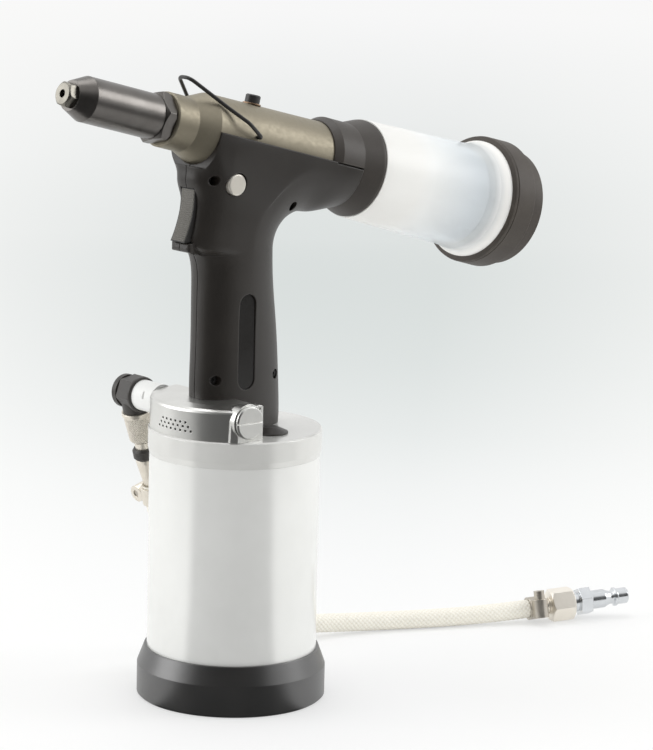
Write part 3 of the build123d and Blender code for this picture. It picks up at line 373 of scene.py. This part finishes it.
trigger_plastic = surface("trigger_plastic", (0.11, 0.104, 0.09), (0.135, 0.128, 0.113), rough=0.5,
                          grain=1800, bump=0.2, edge_wear_and_highlight=(0.2, 0.19, 0.17), bevel=0.0006)
# The trigger's sides, nearly black: painted shade of the deep slot they sit in; the ribbed face keeps the
# trigger's own brown-grey
trigger_side_painted_shade = surface("trigger_side_painted_shade", (0.012, 0.011, 0.01), (0.018, 0.017, 0.015), rough=0.5, grain=1800,
                       bump=0.2, edge_wear_and_highlight=(0.04, 0.037, 0.033), bevel=0.0006)
collar_plastic = surface("collar_plastic", (0.034, 0.028, 0.023), (0.044, 0.037, 0.031), rough=0.5,
                         grain=2200, bump=0.2, edge_wear_and_highlight=(0.12, 0.105, 0.09), bevel=0.0006)
cap_rubber = surface("cap_rubber", (0.046, 0.037, 0.03), (0.06, 0.05, 0.04), rough=0.58, grain=1800,
                     bump=0.25, cloud=40, edge_wear_and_highlight=(0.15, 0.13, 0.11), bevel=0.0007)
black_plastic = surface("black_plastic", (0.03, 0.028, 0.026), (0.042, 0.038, 0.034), rough=0.42, grain=1500,
                        bump=0.2, edge_wear_and_highlight=(0.1, 0.095, 0.085))
white_plastic = surface("white_plastic", (0.8, 0.81, 0.79), (0.86, 0.865, 0.85), rough=0.4, grain=1200,
                        edge_wear_and_highlight=(0.9, 0.9, 0.88))
nickel = surface("warm_nickel", (0.74, 0.69, 0.6), (0.8, 0.755, 0.67), metal=0.85, rough=0.34, spread=0.03,
                 grain=300, bump=0.01, cloud=80, edge_wear_and_highlight=(0.9, 0.86, 0.78))
clamp_metal = surface("clamp_metal", (0.46, 0.425, 0.37), (0.56, 0.525, 0.465), metal=1.0, rough=0.33,
                      spread=0.03, grain=300, bump=0.01, cloud=120, edge_wear_and_highlight=(0.86, 0.82, 0.74))
# Brighter copy of the warm nickel for the hose nipple and union nut: a painted highlight for their bright
# reflections
nickel_painted_highlight = surface("nickel_painted_highlight", (0.88, 0.83, 0.745), (0.93, 0.885, 0.8), metal=0.8, rough=0.34,
                        spread=0.03, grain=300, bump=0.01, cloud=80, edge_wear_and_highlight=(0.95, 0.92, 0.85))
zinc = surface("bright_zinc", (0.66, 0.68, 0.7), (0.73, 0.75, 0.77), metal=1.0, rough=0.22, spread=0.02,
               grain=300, bump=0.01, cloud=80, edge_wear_and_highlight=(0.92, 0.93, 0.94))
button_metal = surface("button_metal", (0.78, 0.74, 0.66), (0.82, 0.78, 0.7), metal=0.75, rough=0.33,
                       spread=0.02, grain=300, bump=0.01, cloud=80, edge_wear_and_highlight=(0.9, 0.87, 0.8), bevel=0.0012)
tip_steel = surface("tip_steel", (0.2, 0.19, 0.165), (0.27, 0.257, 0.225), metal=1.0, rough=0.36, spread=0.03,
                    grain=400, bump=0.01, cloud=90, edge_wear_and_highlight=(0.42, 0.4, 0.36))
steel = surface("machined_steel", (0.5, 0.5, 0.49), (0.58, 0.58, 0.57), metal=1.0, rough=0.34, spread=0.04,
                grain=1200, bump=0.05, cloud=60, edge_wear_and_highlight=(0.8, 0.8, 0.78))
black_wire = surface("black_wire", (0.018, 0.017, 0.016), (0.026, 0.025, 0.024), rough=0.38, grain=1500,
                     bump=0.2, edge_wear_and_highlight=(0.06, 0.06, 0.06))
copper = surface("copper_washer", (0.3, 0.2, 0.13), (0.38, 0.26, 0.18), metal=1.0, rough=0.4, grain=1500,
                 cloud=120, edge_wear_and_highlight=(0.5, 0.38, 0.28))
gloss_black = surface("gloss_black", (0.012, 0.011, 0.01), (0.018, 0.017, 0.016), rough=0.14, spread=0.03,
                      bump=0.04, edge_wear_and_highlight=(0.05, 0.05, 0.05))
seal_rubber = surface("seal_rubber", (0.02, 0.02, 0.02), (0.03, 0.03, 0.03), rough=0.5, grain=1500, bump=0.2)
felt = surface("silencer_felt", (0.12, 0.12, 0.115), (0.2, 0.2, 0.19), rough=0.9, grain=2500, bump=0.6,
               depth=0.0004)


def dress(mat, *names):
    """Gives CAD nodes their finish."""
    for name in names:
        materials = nodes[name].data.materials
        materials.clear()
        materials.append(mat)


dress(rubber, "rubber_boot")
dress(anodised, "air_cylinder")
dress(cover_metal, "cylinder_cover")
dress(casting, "valve_block", "end_plug", "base_plate", "air_piston")
dress(casting, "pilot_valve_body", "suction_valve_body")
dress(head_metal, "head_body")
dress(dark_steel, "jaw_housing", "jaws", "nose_housing", "lock_nut")
dress(tip_steel, "nosepiece")
dress(shell_plastic, "grip_shell_left", "grip_shell_right")
# Painted shade on the trigger's body, around its ribbed face
dress(trigger_side_painted_shade, "trigger")
dress(collar_plastic, "jar_collar")
dress(milky_plastic(), "collector_jar")
dress(cap_rubber, "jar_cap")
dress(black_plastic, "swivel_elbow", "coupling_ring", "vent_cap")
dress(white_plastic, "inlet_sleeve", "hose")
dress(nickel, "knurled_coupling", "hose_tail", "tool_end_clamp")
dress(clamp_metal, "plug_end_clamp", "clamp_screws")
# Painted highlight: the brighter copy of the warm nickel
dress(nickel_painted_highlight, "hose_nipple", "union_nut")
dress(zinc, "air_plug")
dress(button_metal, "suction_button")
dress(black_wire, "bail", "oil_screw", "grip_screws")
dress(copper, "oil_screw_washer")
dress(gloss_black, "label_plate")
dress(seal_rubber, "air_piston_seal", "rod_seal", "pull_piston_seal")
dress(felt, "silencer_insert")
dress(steel, "snap_ring", "plunger_rod", "oil_tube", "head_end_cap", "pull_piston", "mandrel_tube")
dress(steel, "jaw_pusher", "trigger_pin", "valve_pin", "valve_spool", "inlet_spigot")
dress(steel, "return_spring", "jaw_spring", "valve_pin_spring", "suction_spring", "spool_spring")


# Mesh helpers
def mesh_piece(name, points, faces, mat, body, smooth=True):
    """New mesh that rides on a body."""
    mesh = bpy.data.meshes.new(name)
    mesh.from_pydata([tuple(p) for p in points], [], faces)
    mesh.update()
    if smooth:
        mesh.polygons.foreach_set("use_smooth", [True] * len(mesh.polygons))
    mesh.materials.append(mat)
    piece = add_object(name, mesh)
    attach(piece, body)
    return piece


def grid_faces(rings, around):
    """Four-sided faces between rings of points."""
    faces = []
    for i in range(rings - 1):
        for j in range(around):
            k = (j + 1) % around
            faces.append((i * around + j, i * around + k, (i + 1) * around + k, (i + 1) * around + j))
    return faces


def capped_faces(rings, around):
    """Faces between rings of points, with the first and last ring closed."""
    first = tuple(range(around))
    last = tuple((rings - 1) * around + j for j in reversed(range(around)))
    return grid_faces(rings, around) + [first, last]


# Trigger ribs: fine level ridges that follow the hollow of its face
def trigger_face():
    """Points of the face's middle line from top to foot, and how far along it each one lies."""
    heights = np.array([p[0] for p in FACE])
    middle = heights.mean()
    shape = np.polyfit((heights - middle) * FACE_SCALE, [p[1] for p in FACE], len(FACE) - 1)
    z = np.linspace(FACE[0][0] - FACE_INSET, FACE[-1][0] + FACE_INSET, FACE_STEPS)
    x = np.polyval(shape, (z - middle) * FACE_SCALE)
    along = np.concatenate([[0], np.cumsum(np.hypot(np.diff(x), np.diff(z)))])
    return x, z, along


def make_ribs():
    """A thin ridged sheet that sits on the trigger's face."""
    x, z, along = trigger_face()
    way = np.stack([np.gradient(x, along), np.gradient(z, along)], 1)
    out = np.stack([way[:, 1], -way[:, 0]], 1)
    wave = 0.5 + 0.5 * np.cos(2 * np.pi * along / RIB_PITCH)
    wave[0] = 0.0
    wave[-1] = 0.0
    points = []
    for k in range(FACE_STEPS):
        top = RIB_LIFT + RIB_HEIGHT * wave[k]
        for side, share in RIB_ACROSS:
            reach = share * (top if share > 0 else RIB_SINK)
            points.append((x[k] + out[k, 0] * reach, RIB_HALF * side, z[k] + out[k, 1] * reach))
    faces = capped_faces(FACE_STEPS, len(RIB_ACROSS))
    piece = mesh_piece("trigger_ribs", points, faces, trigger_plastic, "trigger")


# Knurled coupling: turned outline with crossed grooves on its taper
def groove(place, turn_share):
    """How deep the crossed grooves are at a place along the taper and a share of the turn."""
    if not KNURL_FROM < place < KNURL_TO:
        return 0.0
    lean = (place - KNURL_FROM) * KNURL_TEETH / (2 * math.pi * KNURL_MEAN_R)
    one = abs((KNURL_TEETH * turn_share + lean) % 1 - 0.5) * 2
    two = abs((KNURL_TEETH * turn_share - lean) % 1 - 0.5) * 2
    nearest = min(one, two)
    return KNURL_DEPTH * (1 - nearest * GROOVE_SLOPE) if nearest < GROOVE_SHARE else 0.0


def make_knurl():
    """The coupling's outline, swept about the drop, with a bore through it."""
    rows = []
    for (start, start_r), (end, end_r) in zip(KNURL[:-1], KNURL[1:]):
        steps = KNURL_STEPS if start == KNURL_FROM else 1
        for k in range(steps):
            rows.append((start + (end - start) * k / steps, start_r + (end_r - start_r) * k / steps))
    rows.append(KNURL[-1])
    first = Vector((0, 1, 0)).cross(DROP).normalized()
    second = DROP.cross(first)
    points = []
    for place, radius in rows:
        for j in range(KNURL_AROUND):
            turn_share = j / KNURL_AROUND
            angle = 2 * math.pi * turn_share
            spread = first * math.cos(angle) + second * math.sin(angle)
            reach = radius - groove(place, turn_share)
            points.append(DROP_ORIGIN + DROP * place + spread * reach)
    faces = grid_faces(len(rows), KNURL_AROUND)
    last = (len(rows) - 1) * KNURL_AROUND
    for j in range(KNURL_AROUND):
        k = (j + 1) % KNURL_AROUND
        faces.append((last + j, last + k, k, j))
    piece = mesh_piece("knurled_sleeve", points, faces, nickel, "tool", smooth=False)
    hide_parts("knurled_coupling")
    return piece


# Hose: the route's points as a spline, a braided tube along it
def spline_points(points, step):
    """Evenly spaced points along the smooth spline that the route's points control."""
    curve = bpy.data.curves.new("route", "CURVE")
    curve.dimensions = "3D"
    curve.resolution_u = 64
    line = curve.splines.new("NURBS")
    line.points.add(len(points) - 1)
    for point, place in zip(line.points, points):
        point.co = (*place, 1.0)
    line.order_u = 3
    line.use_endpoint_u = True
    holder = bpy.data.objects.new("route", curve)
    mesh = bpy.data.meshes.new_from_object(holder)
    raw = np.array([v.co for v in mesh.vertices])
    bpy.data.objects.remove(holder)
    bpy.data.meshes.remove(mesh)
    along = np.concatenate([[0], np.cumsum(np.linalg.norm(np.diff(raw, axis=0), axis=1))])
    count = int(round(along[-1] / step)) + 1
    places = np.linspace(0, along[-1], count)
    return np.stack([np.interp(places, along, raw[:, k]) for k in range(3)], 1), places


def tube_frames(points):
    """Two cross directions at each point, carried along without twist."""
    ways = np.gradient(points, axis=0)
    ways /= np.linalg.norm(ways, axis=1)[:, None]
    side = np.cross(ways[0], (0.0, 1.0, 0.0))
    side /= np.linalg.norm(side)
    sides = []
    for way in ways:
        side = side - way * np.dot(side, way)
        side /= np.linalg.norm(side)
        sides.append(side)
    sides = np.array(sides)
    return sides, np.cross(ways, sides)


def braid(turns_round, along):
    """Height from 0 to 1 of a plain braid at an angle (in turns) and a place along the tube."""
    a = BRAID_BUNDLES * turns_round + along / BRAID_PITCH
    b = BRAID_BUNDLES * turns_round - along / BRAID_PITCH
    over = np.sin(np.pi * a) * np.sin(np.pi * b)
    crown_a = np.sqrt(np.abs(np.sin(np.pi * a)))
    crown_b = np.sqrt(np.abs(np.sin(np.pi * b)))
    weave = BRAID_WEAVE * over
    return np.maximum(crown_a * (BRAID_LEVEL + weave), crown_b * (BRAID_LEVEL - weave))


def make_hose(coupling):
    """The braided tube along the route; the coupling passed in is not used."""
    centres, places = spline_points(ROUTE, HOSE_STEP)
    first, second = tube_frames(centres)
    turns = np.arange(HOSE_AROUND) / HOSE_AROUND
    angle = 2 * np.pi * turns
    height = braid(turns[None, :], places[:, None])
    reach = HOSE_R - BRAID_DEPTH * (1 - height)
    spread = np.cos(angle)[None, :, None] * first[:, None, :]
    spread = spread + np.sin(angle)[None, :, None] * second[:, None, :]
    points = (centres[:, None, :] + spread * reach[:, :, None]).reshape(-1, 3)
    faces = capped_faces(len(centres), HOSE_AROUND)
    piece = mesh_piece("braided_hose", points, faces, braided_plastic(), "tool")
    values = piece.data.attributes.new("braid", "FLOAT", "POINT")
    values.data.foreach_set("value", height.reshape(-1).astype(np.float32))
    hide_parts("hose")


# Springs: a copy of each spring's coils, riding on the body of its joint's parent
def make_spring(joint, spring):
    """Copy of a spring's node, on the body of its joint's parent, with a mesh of its own."""
    node = nodes[spring["node"]]
    piece = add_object("coiled_" + spring["node"], node.data.copy())
    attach(piece, joint["parent"])
    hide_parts(spring["node"])
    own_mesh(piece)


# Floor and studio
def shown_rays(tree, rays):
    """1 for the rays that show the background: to the camera, in a reflection or through something."""
    seen = math_node(tree, "MAXIMUM", rays.outputs["Is Camera Ray"], rays.outputs["Is Glossy Ray"])
    return math_node(tree, "MAXIMUM", seen, rays.outputs["Is Transmission Ray"])


def dark_sector(tree, toward):
    """Share of darkness on the camera's side, from how much a direction points there."""
    return span(tree, toward, DARK_FROM, DARK_TO, 0.0, DARK_SHARE)


def painted_floor_shade(tree, depth):
    """Painted shade along the floor, as grey levels from the tool to some way behind it."""
    node = tree.nodes.new("ShaderNodeValToRGB")
    ramp = node.color_ramp
    ramp.interpolation = "B_SPLINE"
    ramp.elements[0].position = FLOOR_SHADE_LEVELS[0][0]
    ramp.elements[1].position = FLOOR_SHADE_LEVELS[-1][0]
    for place, level in FLOOR_SHADE_LEVELS[1:-1]:
        ramp.elements.new(place)
    for element, (place, level) in zip(sorted(ramp.elements, key=lambda e: e.position), FLOOR_SHADE_LEVELS):
        darker = FLOOR_SHADE_LEVELS[0][1] - level
        element.color = (level, level + GREEN_KEPT * darker, level + BLUE_KEPT * darker, 1.0)
    tree.links.new(span(tree, depth, 0.0, FLOOR_LENGTH, 0.0, 1.0), node.inputs["Fac"])
    return node.outputs["Color"]


def floor_material():
    """Pale sheet with painted shade some way behind the tool, and dark in front in reflections alone."""
    mat, tree, shader = new_material("pale_floor")
    shader.inputs["Roughness"].default_value = 0.7
    shader.inputs["Specular IOR Level"].default_value = 0.15
    where = object_place(tree)
    heading = Vector((AHEAD.x, AHEAD.y, 0)).normalized()
    depth = along_way(tree, where, heading)
    across = along_way(tree, where, (heading.y, -heading.x, 0))
    bearing = math_node(tree, "DIVIDE", across, math_node(tree, "ADD", depth, EYE_BACK))
    aside = math_node(tree, "ABSOLUTE", math_node(tree, "SUBTRACT", bearing, GREY_BEARING))
    beside = span(tree, aside, *GREY_EDGE, 0.0, GREY_FADE)
    # Painted shade behind the tool, fading to pale to either side
    pale = mix(tree, beside, painted_floor_shade(tree, depth), (0.97, 0.97, 0.96))
    way = vector_node(tree, "NORMALIZE", where).outputs["Vector"]
    toward = along_way(tree, way, -heading)
    reach = vector_node(tree, "LENGTH", where).outputs["Value"]
    front = span(tree, reach, *FRONT_REACH, 0.0, FRONT_SHARE)
    front = math_node(tree, "MULTIPLY", front, span(tree, toward, *FRONT_HALF, 0.0, 1.0))
    rays = tree.nodes.new("ShaderNodeLightPath")
    dark = math_node(tree, "MAXIMUM", dark_sector(tree, toward), front)
    dark = math_node(tree, "MULTIPLY", dark, rays.outputs["Is Glossy Ray"])
    pale = mix(tree, dark, pale, (0.05, 0.05, 0.05))
    tree.links.new(pale, shader.inputs["Base Color"])
    glow = tree.nodes.new("ShaderNodeEmission")
    glow.inputs["Strength"].default_value = 1.0
    tree.links.new(pale, glow.inputs["Color"])
    share = math_node(tree, "MULTIPLY", shown_rays(tree, rays), span(tree, depth, *GLOW_DEPTH, *GLOW_SHARE))
    blend = tree.nodes.new("ShaderNodeMixShader")
    tree.links.new(share, blend.inputs["Fac"])
    tree.links.new(shader.outputs["BSDF"], blend.inputs[1])
    tree.links.new(glow.outputs["Emission"], blend.inputs[2])
    tree.links.new(blend.outputs["Shader"], tree.nodes["Material Output"].inputs["Surface"])
    return mat


def make_floor():
    """A sheet just under the foot."""
    corners = [(-1, -1), (1, -1), (1, 1), (-1, 1)]
    mesh = bpy.data.meshes.new("floor")
    mesh.from_pydata([(FLOOR_HALF * x, FLOOR_HALF * y, -FLOOR_DROP) for x, y in corners], [], [(0, 1, 2, 3)])
    mesh.materials.append(floor_material())
    add_object("floor", mesh)


def make_studio():
    """Soft surroundings, paler to the eye than they light, and darker on the camera's side in reflections."""
    world = bpy.data.worlds.new("studio")
    scene.world = world
    world.use_nodes = True
    tree = world.node_tree
    background = tree.nodes["Background"]
    place = tree.nodes.new("ShaderNodeTexCoord")
    rays = tree.nodes.new("ShaderNodeLightPath")
    camera_side = Vector((-AHEAD.x, -AHEAD.y, 0.1)).normalized()
    toward = along_way(tree, place.outputs["Generated"], camera_side)
    dark = math_node(tree, "MULTIPLY", dark_sector(tree, toward), rays.outputs["Is Glossy Ray"])
    tree.links.new(mix(tree, dark, (1.0, 1.0, 1.0), (0.0, 0.0, 0.0)), background.inputs["Color"])
    strength = span(tree, shown_rays(tree, rays), 0.0, 1.0, STUDIO_LIGHT, STUDIO_SHOWN)
    tree.links.new(strength, background.inputs["Strength"])


def make_lamp(name, position, size, power):
    """A round soft lamp that points at the tool."""
    data = bpy.data.lights.new(name, "AREA")
    data.shape = "DISK"
    data.size = size
    data.energy = power
    lamp = add_object(name, data)
    lamp.location = position
    lamp.rotation_euler = (LAMP_AIM - Vector(position)).to_track_quat("-Z", "Y").to_euler()


# The scene
make_camera()
make_ribs()
make_hose(make_knurl())
for joint in frame["joints"]:
    for spring in joint.get("deforming_nodes", []):
        make_spring(joint, spring)
make_floor()
make_studio()
for name, position, size, power in LAMPS:
    make_lamp(name, position, size, power)
